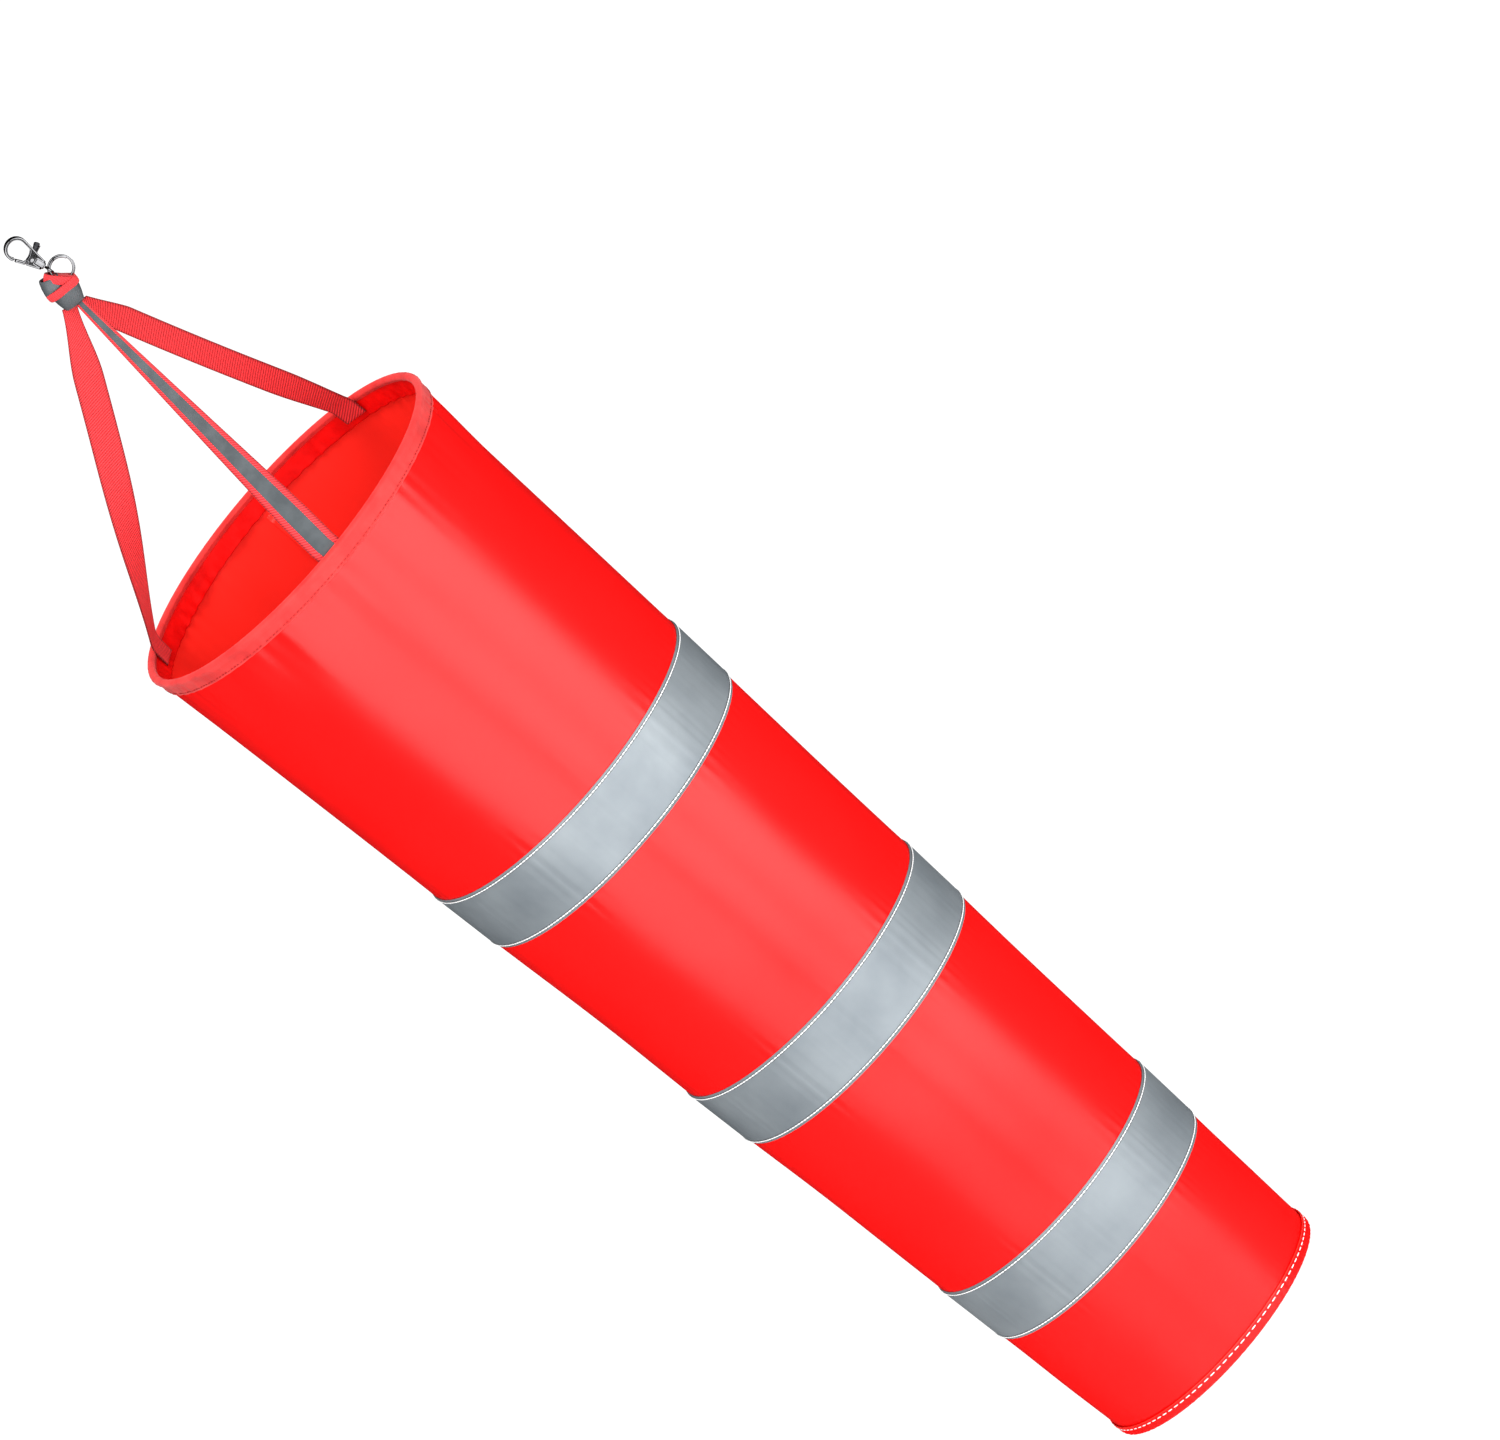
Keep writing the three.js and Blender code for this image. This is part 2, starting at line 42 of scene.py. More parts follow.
SOCK_LENGTH = 1016
MOUTH_RADIUS = 158
TAIL_RADIUS = 112
BAND_HEIGHT = 63
BAND_TOPS = (293, 558, 823)

HOOP_RADIUS = 157
HOOP_DEPTH = 3.4
HOOP_WIRE_RADIUS = 1.3
CHANNEL_RADIUS = 2.7
BINDING_OUTER_LEG = 16
BINDING_INNER_LEG = 22
TAIL_HEM_LENGTH = 10

# heights above the cloth's nominal cone
BAND_LIFT = 0.1
BAND_EDGE_DROP = 0.3
# The dark strips beside the band stitching are thin sheets of painted shade.
CREASE_LIFT = 0.39
BAND_STITCH_LIFT = 0.6
BAND_STITCH_INSET = 2.8
CREASE_HALF_WIDTH = 1.15
BINDING_LIFT = 0.9
BINDING_STITCH_LIFT = 1.35
TAIL_STITCH_LIFT = 1.05

STRAP_WIDTH = 25
# Width of the painted shade along each edge of the webbing.
EDGE_SHADE_MARGIN = 2.6
STRAP_THICKNESS = 1.5
STRAP_SEWN_LENGTH = 17
STRIPE_SHARE = 0.56
STRAP_RIM_RADIUS = 151.8

RING_RADIUS = 9.7
RING_IN_SOCK = (41.8, 0, 276)

# side, angle round the tube from -Y towards +X, start about the ring's centre, width at the knot,
# length over which it opens out, how suddenly it opens, twist at the knot in degrees, and the
# shares of its length over which the twist goes
STRAPS = (
    ("near", 5, (-11, -6, -29), 7, 250, 0.0, 0, (0.5, 0.9)),
    ("right", 138, (-9, 3, -31), 12, 40, 0.3, -18, (0.7, 0.97)),
    ("left", 245, (-19.5, 1, -26.5), 13, 65, 1.0, 65, (0.4, 0.97)),
)

# ---- camera, light and floor ----------------------------------------------------------------------

CAMERA_ELEVATION = math.radians(15.5)
TUBE_SLOPE = math.radians(40.64)      # how steeply the tube runs down to the right in the picture
PICTURE_WIDTH = 1.191                 # metres across the picture at the tube
MOUTH_LEFT_OF_CENTRE = 0.371
MOUTH_ABOVE_CENTRE = 0.153
CAMERA_DISTANCE = 30.0
SENSOR = 36.0
FLOOR_HEIGHT = -1.9
FLOOR_RADIUS = 1.4
SURROUND_DIFFUSE = 0.68
SURROUND_GLOSSY = 0.012
SURROUND_CAMERA = 1.1
LIGHT_AIM = (0.02, 0, -0.75)

# name, azimuth in degrees from the camera's side towards +X, height and distance in metres, size, watts,
# and whether it shows in glossy surfaces
LIGHTS = (
    ("front_left", -24, -0.6, 2.8, (2.4, 3.0), 54, True),
    ("front", 16, -0.6, 2.8, (1.3, 3.0), 34, True),
    ("front_right", 48, -0.6, 2.8, (1.7, 3.0), 43, True),
    ("mouth", -20, 1.7, 0.6, (0.8, 0.8), 48, False),
)

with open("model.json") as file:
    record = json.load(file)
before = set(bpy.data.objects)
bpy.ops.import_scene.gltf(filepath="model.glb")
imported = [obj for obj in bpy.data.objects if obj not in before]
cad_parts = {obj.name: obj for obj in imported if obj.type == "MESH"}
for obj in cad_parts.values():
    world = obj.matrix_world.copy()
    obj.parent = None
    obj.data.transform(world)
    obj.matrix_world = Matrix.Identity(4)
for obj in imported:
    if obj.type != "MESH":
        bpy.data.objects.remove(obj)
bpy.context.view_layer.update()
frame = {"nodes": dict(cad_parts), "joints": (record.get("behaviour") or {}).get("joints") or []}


def joint(name):
    return next(j for j in frame["joints"] if j["name"] == name)


def box_centre(node):
    low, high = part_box(node)
    return (Vector(low) + Vector(high)) / 2


RING_CENTRE = Vector(joint("sock_swing")["pos_m"])


def tube_matrix():
    """From the tube's own frame, in millimetres, to the row's, in metres."""
    up = (box_centre("mouth_hoop") - box_centre("tail_hem")).normalized()
    across = Vector((0, 1, 0)).cross(up).normalized()
    turn = Matrix((across, (0, 1, 0), up)).transposed()
    mouth = RING_CENTRE - turn @ (Vector(RING_IN_SOCK) * MM)
    return Matrix.Translation(mouth) @ turn.to_4x4() @ Matrix.Scale(MM, 4)


TUBE = tube_matrix()
KNOT = TUBE @ Matrix.Translation(RING_IN_SOCK)


def hook_matrix():
    """From the hook's own frame, loop centre at the origin and swivel axis down -Z."""
    swivel = joint("swivel_turn")
    up = Vector(swivel["axis"]).normalized()
    across = Vector((0, 1, 0)).cross(up).normalized()
    turn = Matrix((across, (0, 1, 0), up)).transposed()
    return Matrix.Translation(Vector(swivel["pos_m"])) @ turn.to_4x4() @ Matrix.Scale(MM, 4)


HOOK = hook_matrix()


def make_camera():
    forward = Vector((0, math.cos(CAMERA_ELEVATION), -math.sin(CAMERA_ELEVATION)))
    level_right = Vector((1, 0, 0))
    level_up = level_right.cross(forward)
    down_tube = -(TUBE.to_3x3() @ Vector((0, 0, 1))).normalized()
    shown = math.atan2(down_tube.dot(level_up), down_tube.dot(level_right))
    roll = -TUBE_SLOPE - shown
    right = level_right * math.cos(roll) - level_up * math.sin(roll)
    up = level_right * math.sin(roll) + level_up * math.cos(roll)
    target = TUBE.translation + right * MOUTH_LEFT_OF_CENTRE - up * MOUTH_ABOVE_CENTRE
    data = bpy.data.cameras.new("camera")
    data.sensor_width = SENSOR
    data.lens = SENSOR * CAMERA_DISTANCE / PICTURE_WIDTH
    data.clip_end = 100
    camera = bpy.data.objects.new("camera", data)
    turn = Matrix((right, up, -forward)).transposed().to_4x4()
    camera.matrix_world = Matrix.Translation(target - forward * CAMERA_DISTANCE) @ turn
    bpy.context.collection.objects.link(camera)
    bpy.context.scene.camera = camera


# ---- mesh helpers ---------------------------------------------------------------------------------


def new_object(name, vertices, faces, finish, uvs=None, matrix=TUBE):
    """A smooth mesh object. uvs has one (u, v) pair for each corner of each face, in metres."""
    mesh = bpy.data.meshes.new(name)
    mesh.from_pydata([tuple(matrix @ Vector(v)) for v in vertices], [], faces)
    mesh.update()
    mesh.shade_smooth()
    if uvs is not None:
        layer = mesh.uv_layers.new(name="UVMap")
        layer.data.foreach_set("uv", np.asarray(uvs, dtype=float).ravel())
    mesh.materials.append(finish)
    piece = bpy.data.objects.new(name, mesh)
    bpy.context.collection.objects.link(piece)
    return piece


def loft(name, rings, finish, matrix=TUBE, around_uv=None, along_uv=None, closed=False):
    """A skin over rings of points, shape (rings, points, 3); closed joins the last ring to the first."""
    rings = np.asarray(rings, dtype=float)
    count, points, _ = rings.shape
    along_uv = np.arange(count + 1) if along_uv is None else np.append(along_uv, along_uv[-1] + MM)
    around_uv = np.arange(points + 1) if around_uv is None else np.append(around_uv, around_uv[0])
    along_uv = along_uv * MM
    around_uv = around_uv * MM
    faces, uvs = [], []
    for i in range(count if closed else count - 1):
        below = (i + 1) % count
        for j in range(points):
            beside = (j + 1) % points
            faces.append((i * points + j, i * points + beside, below * points + beside, below * points + j))
            uvs += [(around_uv[j], along_uv[i]), (around_uv[j + 1], along_uv[i]),
                    (around_uv[j + 1], along_uv[i + 1]), (around_uv[j], along_uv[i + 1])]
    if not closed:
        faces.append(tuple(reversed(range(points))))
        faces.append(tuple((count - 1) * points + j for j in range(points)))
        uvs += [(0, 0)] * (2 * points)
    piece = new_object(name, rings.reshape(-1, 3), faces, finish, uvs, matrix)
    outward(piece)
    return piece


def outward(piece):
    """Turns the faces of a closed mesh outwards."""
    mesh = piece.data
    coords = np.empty(len(mesh.vertices) * 3)
    mesh.vertices.foreach_get("co", coords)
    coords = coords.reshape(-1, 3)
    mesh.calc_loop_triangles()
    corners = np.array([t.vertices for t in mesh.loop_triangles])
    a, b, c = (coords[corners[:, k]] - coords.mean(0) for k in range(3))
    if np.einsum("ij,ij->i", a, np.cross(b, c)).sum() < 0:
        mesh.flip_normals()


def shell(name, path, thickness, finish, ripple=None, around=256, drop=None):
    """A thin closed sheet turned about the tube's axis, from a path of (radius, height) points."""
    path = np.asarray(path, dtype=float)
    ahead = np.gradient(path, axis=0)
    normal = np.stack([-ahead[:, 1], ahead[:, 0]], 1) / np.linalg.norm(ahead, axis=1)[:, None]
    skin = np.concatenate([path + normal * thickness / 2, (path - normal * thickness / 2)[::-1]])
    arc = np.append(0, np.cumsum(np.linalg.norm(np.diff(path, axis=0), axis=1)))
    arc = np.concatenate([arc, arc[::-1]])
    angle = np.arange(around) * 2 * math.pi / around
    radius = skin[:, 0][None, :] + (0 if ripple is None else ripple(angle[:, None], skin[:, 1][None, :]))
    height = skin[:, 1][None, :] + (np.zeros_like(radius) if drop is None
                                    else drop(angle[:, None], skin[:, 1][None, :]))
    rings = np.stack([radius * np.sin(angle)[:, None], -radius * np.cos(angle)[:, None], height], 2)
    along = angle * MOUTH_RADIUS
    return loft(name, rings, finish, around_uv=arc, along_uv=along, closed=True)


def flat_section(width, thickness, points=20, squareness=0.35):
    """Points (across, out) round the section of a flat tape with soft edges."""
    turn = np.arange(points) * 2 * math.pi / points
    across = np.sign(np.cos(turn)) * np.abs(np.cos(turn)) ** squareness * width / 2
    out = np.sign(np.sin(turn)) * np.abs(np.sin(turn)) ** 0.6 * thickness / 2
    return across, out


def tape(name, centres, across, out, widths, thickness, finish, closed=False, matrix=TUBE, crown=0.0):
    """A flat tape along stations, with the width at each and a crown that bows it across."""
    rings = []
    for centre, side, lift, width in zip(centres, across, out, widths):
        u, v = flat_section(width, thickness)
        bow = crown * (1 - (2 * u / width) ** 2)
        rings.append(centre + u[:, None] * side + (v + bow)[:, None] * lift)
    section_u = flat_section(STRAP_WIDTH, thickness)[0]
    steps = np.linalg.norm(np.diff(np.asarray(centres), axis=0), axis=1)
    along = np.append(0, np.cumsum(steps))
    return loft(name, rings, finish, matrix, section_u, along, closed)


def stitches(name, centres, along, out, length, radius, finish, matrix=TUBE):
    """One object holding a row of short sewn threads, each a flattened capsule."""
    sides, rounds = 6, (-1, -0.8, 0, 0.8, 1)
    swell = (0.25, 0.8, 1, 0.8, 0.25)
    turn = np.arange(sides) * 2 * math.pi / sides
    vertices, faces = [], []
    for centre, ahead, lift in zip(centres, along, out):
        side = np.cross(ahead, lift)
        base = len(vertices)
        for step, fat in zip(rounds, swell):
            for angle in turn:
                vertices.append(centre + ahead * step * length / 2
                                + side * fat * radius * math.cos(angle)
                                + lift * fat * radius * 0.7 * math.sin(angle))
        for i in range(len(rounds) - 1):
            for j in range(sides):
                beside = (j + 1) % sides
                faces.append((base + i * sides + j, base + i * sides + beside,
                              base + (i + 1) * sides + beside, base + (i + 1) * sides + j))
        faces.append(tuple(base + j for j in reversed(range(sides))))
        faces.append(tuple(base + (len(rounds) - 1) * sides + j for j in range(sides)))
    return new_object(name, vertices, faces, finish, matrix=matrix)


def ring_of_stitches(name, radius, depth, length, gap, thread, finish):
    """A row of stitches round the tube, lying on a surface of the given radius."""
    count = round(2 * math.pi * radius / (length + gap))
    angle = np.arange(count) * 2 * math.pi / count
    out = np.stack([np.sin(angle), -np.cos(angle), np.zeros(count)], 1)
    along = np.stack([np.cos(angle), np.sin(angle), np.zeros(count)], 1)
    centres = out * radius + np.array([0, 0, -depth])
    return stitches(name, centres, along, out, length, thread, finish)


def waves(seed, count, low, high):
    """A repeatable sum of sines round the tube: returns f(angle, phase) with values of about one."""
    draw = np.random.default_rng(seed)
    numbers = draw.integers(low, high, count)
    shifts = draw.uniform(0, 2 * math.pi, count)
    drift = draw.uniform(-1, 1, count)
    return lambda angle, phase=0: sum(
        np.sin(n * angle + s + d * phase) for n, s, d in zip(numbers, shifts, drift)) / math.sqrt(count)


# ---- materials --------------------------------------------------------------------------------------


class Finish:
    """A procedural material on a Principled shader, built up by small steps."""

    def __init__(self, name, roughness, metallic=0.0, **sockets):
        self.material = bpy.data.materials.new(name)
        self.material.use_nodes = True
        self.nodes = self.material.node_tree.nodes
        self.links = self.material.node_tree.links
        self.shader = self.nodes["Principled BSDF"]
        self.shader.inputs["Roughness"].default_value = roughness
        self.shader.inputs["Metallic"].default_value = metallic
        for socket, value in sockets.items():
            self.shader.inputs[socket.replace("_", " ")].default_value = value
        self.height = None

    def add(self, kind, **inputs):
        node = self.nodes.new(kind)
        for socket, value in inputs.items():
            node.inputs[socket].default_value = value
        return node

    def place(self, kind, turn=0.0):
        """UV or object coordinates, turned about Z."""
        source = self.nodes.new("ShaderNodeTexCoord").outputs[kind]
        mapping = self.add("ShaderNodeMapping", Rotation=(0, 0, turn))
        self.links.new(source, mapping.inputs["Vector"])
        return mapping.outputs["Vector"]

    def noise(self, scale, detail=3.0, kind="Object"):
        node = self.add("ShaderNodeTexNoise", Scale=scale, Detail=detail)
        self.links.new(self.place(kind), node.inputs["Vector"])
        return node.outputs["Fac"]

    def ribs(self, period, turn):
        """Parallel ribs across the cloth, with a period in millimetres, from its UVs in metres."""
        node = self.add("ShaderNodeTexWave", Scale=math.pi / 10 / (period * MM), Distortion=0.6, Detail=1.0)
        self.links.new(self.place("UV", turn), node.inputs["Vector"])
        return node.outputs["Fac"]

    def colours(self, factor, low, high, start=0.35, end=0.65):
        """Blends the base colour between two by a factor."""
        ramp = self.nodes.new("ShaderNodeValToRGB")
        ramp.color_ramp.elements[0].position = start
        ramp.color_ramp.elements[0].color = (*low, 1)
        ramp.color_ramp.elements[1].position = end
        ramp.color_ramp.elements[1].color = (*high, 1)
        self.links.new(factor, ramp.inputs["Fac"])
        self.links.new(ramp.outputs["Color"], self.shader.inputs["Base Color"])
        return self

    def inside_painted_light(self, centre, colour):
        """Painted light: blends in another base colour on the faces that look back towards a point."""
        source = self.nodes.new("ShaderNodeTexCoord")
        arm = self.nodes.new("ShaderNodeVectorMath")
        arm.operation = "SUBTRACT"
        arm.inputs[1].default_value = centre
        self.links.new(source.outputs["Object"], arm.inputs[0])
        facing = self.nodes.new("ShaderNodeVectorMath")
        facing.operation = "DOT_PRODUCT"
        self.links.new(arm.outputs["Vector"], facing.inputs[0])
        self.links.new(source.outputs["Normal"], facing.inputs[1])
        inward = self.nodes.new("ShaderNodeMath")
        inward.operation = "LESS_THAN"
        inward.inputs[1].default_value = 0
        self.links.new(facing.outputs["Value"], inward.inputs[0])
        return self.blend_base("MIX", inward.outputs["Value"], colour)

    def blend_base(self, kind, factor, colour):
        """Blends a fixed colour over what feeds the base colour.

        A Mix node repeats its socket names for each kind of value, so the sockets are taken by place.
        """
        mix = self.nodes.new("ShaderNodeMix")
        mix.data_type = "RGBA"
        mix.blend_type = kind
        factor_in, under, over = mix.inputs[0], mix.inputs[6], mix.inputs[7]
        base = self.shader.inputs["Base Color"]
        self.links.new(base.links[0].from_socket, under)
        over.default_value = (*colour, 1)
        self.links.new(factor, factor_in)
        self.links.new(mix.outputs[2], base)
        return self

    def paint_edge_shade(self, half_width, margin, share):
        """Painted shade: darkens a tape towards its two edges, from the distance across it in its UVs."""
        across = self.add("ShaderNodeSeparateXYZ")
        self.links.new(self.place("UV"), across.inputs["Vector"])
        away = self.nodes.new("ShaderNodeMath")
        away.operation = "ABSOLUTE"
        self.links.new(across.outputs["X"], away.inputs[0])
        edge = self.add("ShaderNodeMapRange")
        edge.inputs["From Min"].default_value = (half_width - margin) * MM
        edge.inputs["From Max"].default_value = half_width * MM
        edge.inputs["To Max"].default_value = share
        self.links.new(away.outputs["Value"], edge.inputs["Value"])
        return self.blend_base("MULTIPLY", edge.outputs["Result"], (0.12, 0.06, 0.06))

    def rough(self, factor, low, high):
        """Varies the roughness between two values by a factor."""
        spread = self.add("ShaderNodeMapRange")
        spread.inputs["To Min"].default_value = low
        spread.inputs["To Max"].default_value = high
        self.links.new(factor, spread.inputs["Value"])
        self.links.new(spread.outputs["Result"], self.shader.inputs["Roughness"])
        return self

    def bump(self, factor, height_mm, strength=1.0):
        """Adds relief of a height in millimetres on top of what is there."""
        node = self.add("ShaderNodeBump", Strength=strength, Distance=height_mm * MM)
        self.links.new(factor, node.inputs["Height"])
        if self.height is not None:
            self.links.new(self.height, node.inputs["Normal"])
        self.height = node.outputs["Normal"]
        self.links.new(self.height, self.shader.inputs["Normal"])
        return self


def red_cloth():
    """Plain-woven satin polyester."""
    f = Finish("red_cloth", 0.27, Specular_IOR_Level=0.5)
    f.colours(f.noise(9.0), (0.93, 0.0006, 0.0004), (1.0, 0.0014, 0.001))
    # Painted sheen: a pinker red on the faces inside the tube stands in for the light caught inside the
    # mouth.
    f.inside_painted_light(TUBE.translation, (0.97, 0.024, 0.015))
    f.bump(f.noise(7.0, 2.0), 2.5, 0.25)
    f.bump(f.ribs(0.55, 0), 0.012, 0.5)
    f.bump(f.ribs(0.55, math.pi / 2), 0.012, 0.5)
    return f.material


def red_tape():
    """The lighter, drier cloth of the binding."""
    f = Finish("red_tape", 0.6, Specular_IOR_Level=0.45, Sheen_Weight=0.1, Sheen_Roughness=0.5)
    f.colours(f.noise(60.0), (0.6, 0.014, 0.013), (0.76, 0.028, 0.025))
    f.bump(f.noise(110.0, 2.0), 1.1, 0.35)
    f.bump(f.ribs(0.8, 0), 0.08, 0.6)
    f.bump(f.ribs(0.8, math.pi / 2), 0.08, 0.6)
    return f.material


def red_hem_painted_shade():
    """The doubled cloth of the hem inside the mouth, with painted shade: its base colour is a deeper red
    than the cloth's.
    """
    f = Finish("red_hem_painted_shade", 0.5, Specular_IOR_Level=0.14)
    f.colours(f.noise(70.0), (0.7, 0.0008, 0.0008), (0.86, 0.002, 0.0016))
    f.bump(f.noise(90.0, 3.0), 1.2, 0.5)
    f.bump(f.ribs(0.7, 0), 0.06, 0.5)
    return f.material


def red_webbing():
    """Twill webbing with diagonal ribs."""
    f = Finish("red_webbing", 0.62, Specular_IOR_Level=0.4, Sheen_Weight=0.08, Sheen_Roughness=0.5)
    ribs = f.ribs(2.1, math.radians(58))
    f.colours(ribs, (0.42, 0.006, 0.01), (1.0, 0.042, 0.05), 0.05, 0.6)
    # Painted shade along both edges of the webbing, where the stacked straps shade each other.
    f.paint_edge_shade(STRAP_WIDTH / 2, EDGE_SHADE_MARGIN, 0.85)
    f.bump(ribs, 0.35, 0.9)
    f.bump(f.ribs(0.9, math.radians(-58)), 0.12, 0.5)
    f.bump(f.noise(120.0), 0.6, 0.3)
    return f.material


def reflective_tape():
    """Silver tape faced with glass beads."""
    f = Finish("reflective_tape", 0.42, 0.35, Specular_IOR_Level=0.6)
    f.colours(f.noise(14.0, 4.0), (0.215, 0.245, 0.27), (0.31, 0.345, 0.37), 0.3, 0.7)
    f.rough(f.noise(40.0), 0.36, 0.5)
    f.bump(f.noise(2500.0, 1.0), 0.05, 0.4)
    f.bump(f.noise(25.0, 2.0), 0.8, 0.25)
    return f.material


def stripe_tape():
    """Darker grey reflective stripe on the webbing."""
    f = Finish("stripe_tape", 0.5, 0.25, Specular_IOR_Level=0.5)
    f.colours(f.noise(90.0), (0.075, 0.085, 0.092), (0.1, 0.112, 0.12))
    f.bump(f.noise(2500.0, 1.0), 0.05, 0.4)
    f.bump(f.ribs(1.9, math.radians(52)), 0.12, 0.3)
    return f.material


def painted_crease_shade():
    """Painted shade: the dull line that needle holes and shade draw beside a row of sewing, laid on as a
    dark sheet.
    """
    f = Finish("painted_crease_shade", 0.7, Specular_IOR_Level=0.2)
    f.colours(f.noise(600.0), (0.05, 0.055, 0.06), (0.12, 0.13, 0.14))
    return f.material


def thread(name, low, high):
    """Twisted sewing thread."""
    f = Finish(name, 0.6, Specular_IOR_Level=0.4)
    f.colours(f.noise(900.0), low, high)
    f.bump(f.noise(1800.0), 0.1, 0.5)
    return f.material


def chrome():
    """Polished plating with faint wear."""
    f = Finish("chrome", 0.05, 1.0)
    f.colours(f.noise(60.0), (0.22, 0.22, 0.23), (0.34, 0.34, 0.35))
    f.rough(f.noise(300.0, 5.0), 0.03, 0.1)
    f.bump(f.noise(150.0, 2.0), 0.15, 0.1)
    return f.material


def dark_grip():
    """Blackened thumb tab and lever."""
    f = Finish("dark_grip", 0.35, 0.8)
    f.colours(f.noise(200.0), (0.01, 0.01, 0.012), (0.035, 0.035, 0.04))
    f.bump(f.noise(700.0), 0.1, 0.3)
    return f.material


def spring_steel():
    f = Finish("spring_steel", 0.3, 1.0)
    f.colours(f.noise(150.0), (0.3, 0.3, 0.31), (0.5, 0.5, 0.51))
    f.rough(f.noise(400.0), 0.22, 0.42)
    return f.material


RED_CLOTH = red_cloth()
RED_TAPE = red_tape()
RED_HEM_PAINTED_SHADE = red_hem_painted_shade()
RED_WEBBING = red_webbing()
REFLECTIVE = reflective_tape()
STRIPE = stripe_tape()
WHITE_THREAD = thread("white_thread", (0.75, 0.76, 0.76), (0.95, 0.95, 0.95))
RED_THREAD = thread("red_thread", (0.28, 0.004, 0.004), (0.5, 0.01, 0.01))
PAINTED_CREASE_SHADE = painted_crease_shade()
CHROME = chrome()
DARK = dark_grip()
STEEL = spring_steel()


def finish_piece(piece, body, slot, *nodes):
    """Rides a piece on a body and stands it for CAD nodes; the slot argument is not used."""
    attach(piece, body)
    if nodes:
        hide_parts(*nodes)
    return piece


# ---- cloth tube -------------------------------------------------------------------------------------


def cloth_radius(down):
    return MOUTH_RADIUS + (TAIL_RADIUS - MOUTH_RADIUS) * down / SOCK_LENGTH


SLOW = waves(3, 5, 2, 6)
FOLD = waves(4, 5, 7, 22)
PUCKER = waves(5, 7, 34, 90)
FINE = waves(9, 6, 60, 140)


def cloth_ripple(angle, height):
    """Radial relief of the cloth: slack between the seams and gathers beside each sewn edge."""
    down = -height
    seams = [0, *BAND_TOPS, *(top + BAND_HEIGHT for top in BAND_TOPS), SOCK_LENGTH]
    slack = np.ones_like(down)
    gather = np.zeros_like(down)
    for seam in seams:
        slack = slack * (1 - np.exp(-((down - seam) / 60) ** 2))
        gather = gather + np.exp(-np.abs(down - seam) / 14)
    mouth = np.exp(-down / 30)
    folds = np.exp(-((down - 35) / 45) ** 2)
    return (1.1 * slack * SLOW(angle, down / 90)
            + 0.8 * folds * FOLD(angle, down / 40)
            + 0.22 * gather * FINE(angle)
            + 0.45 * mouth * PUCKER(angle)
            - 0.6)


def cloth_tube():
    down = np.concatenate([np.linspace(6.5, 60, 28), np.linspace(66, SOCK_LENGTH - 1.5, 150)])
    path = np.stack([cloth_radius(down) - 0.5, -down], 1)
    return shell("cloth_tube", path, 0.5, RED_CLOTH, cloth_ripple, 320)


def seam_strip():
    """The seam allowance down the inside of the far side."""
    down = np.linspace(BINDING_INNER_LEG + 3, SOCK_LENGTH - TAIL_HEM_LENGTH - 3, 120)
    radius = cloth_radius(down) - 2.6 + 0.15 * np.sin(down / 9)
    centres = np.stack([np.zeros_like(down), radius, -down], 1)
    across = np.tile([1.0, 0, 0], (len(down), 1))
    out = np.tile([0, 1.0, 0], (len(down), 1))
    return tape("seam_strip", centres, across, out, np.full(len(down), 12.0), 0.7, RED_CLOTH)


def band_ripple(angle, height):
    return 0.12 * FINE(angle) + 0.1 * SLOW(angle, -height / 90)


def reflective_band(index, top):
    down = np.linspace(top, top + BAND_HEIGHT, 34)
    edge = np.minimum(down - top, top + BAND_HEIGHT - down)
    lift = BAND_LIFT - BAND_EDGE_DROP * np.exp(-edge / 1.5)
    path = np.stack([cloth_radius(down) + lift, -down], 1)
    return shell(f"band_{index}", path, 0.5, REFLECTIVE, band_ripple, 320)


def band_stitches(index, top):
    """A white row of sewing near each edge of a band, on a dark strip of painted shade."""
    rows = []
    inset = BAND_STITCH_INSET
    for side, depth in (("upper", top + inset), ("lower", top + BAND_HEIGHT - inset)):
        reach = np.linspace(depth - CREASE_HALF_WIDTH, depth + CREASE_HALF_WIDTH, 6)
        path = [(cloth_radius(d) + CREASE_LIFT, -d) for d in reach]
        rows.append(shell(f"band_{index}_crease_{side}", path, 0.06, PAINTED_CREASE_SHADE, band_ripple, 320))
        radius = cloth_radius(depth) + BAND_STITCH_LIFT
        name = f"band_{index}_stitches_{side}"
        rows.append(ring_of_stitches(name, radius, depth, 3.6, 0.3, 0.62, WHITE_THREAD))
    return rows


def binding_tape():
    """Tape folded over the hoop, with its outer leg stitched down."""
    outer = [(cloth_radius(d) + BINDING_LIFT, -d) for d in np.linspace(BINDING_OUTER_LEG, 6.5, 8)]
    turn = np.radians(np.linspace(-5, 185, 17))
    fold = CHANNEL_RADIUS + 0.5
    over = [(HOOP_RADIUS + fold * math.cos(a), -HOOP_DEPTH + fold * math.sin(a)) for a in turn]
    inner = [(cloth_radius(d) - 1.7 - 0.5 * max(0, 9 - d) / 9, -d) for d in np.linspace(7, 10, 3)]

    def ripple(angle, height):
        edge = np.clip(-height / BINDING_OUTER_LEG, 0, 1)
        return 0.16 * FINE(angle, height / 9) * (0.4 + edge) + 0.22 * PUCKER(angle, height / 12) * edge

    return shell("binding_tape", outer + over + inner, 0.6, RED_TAPE, ripple, 480)


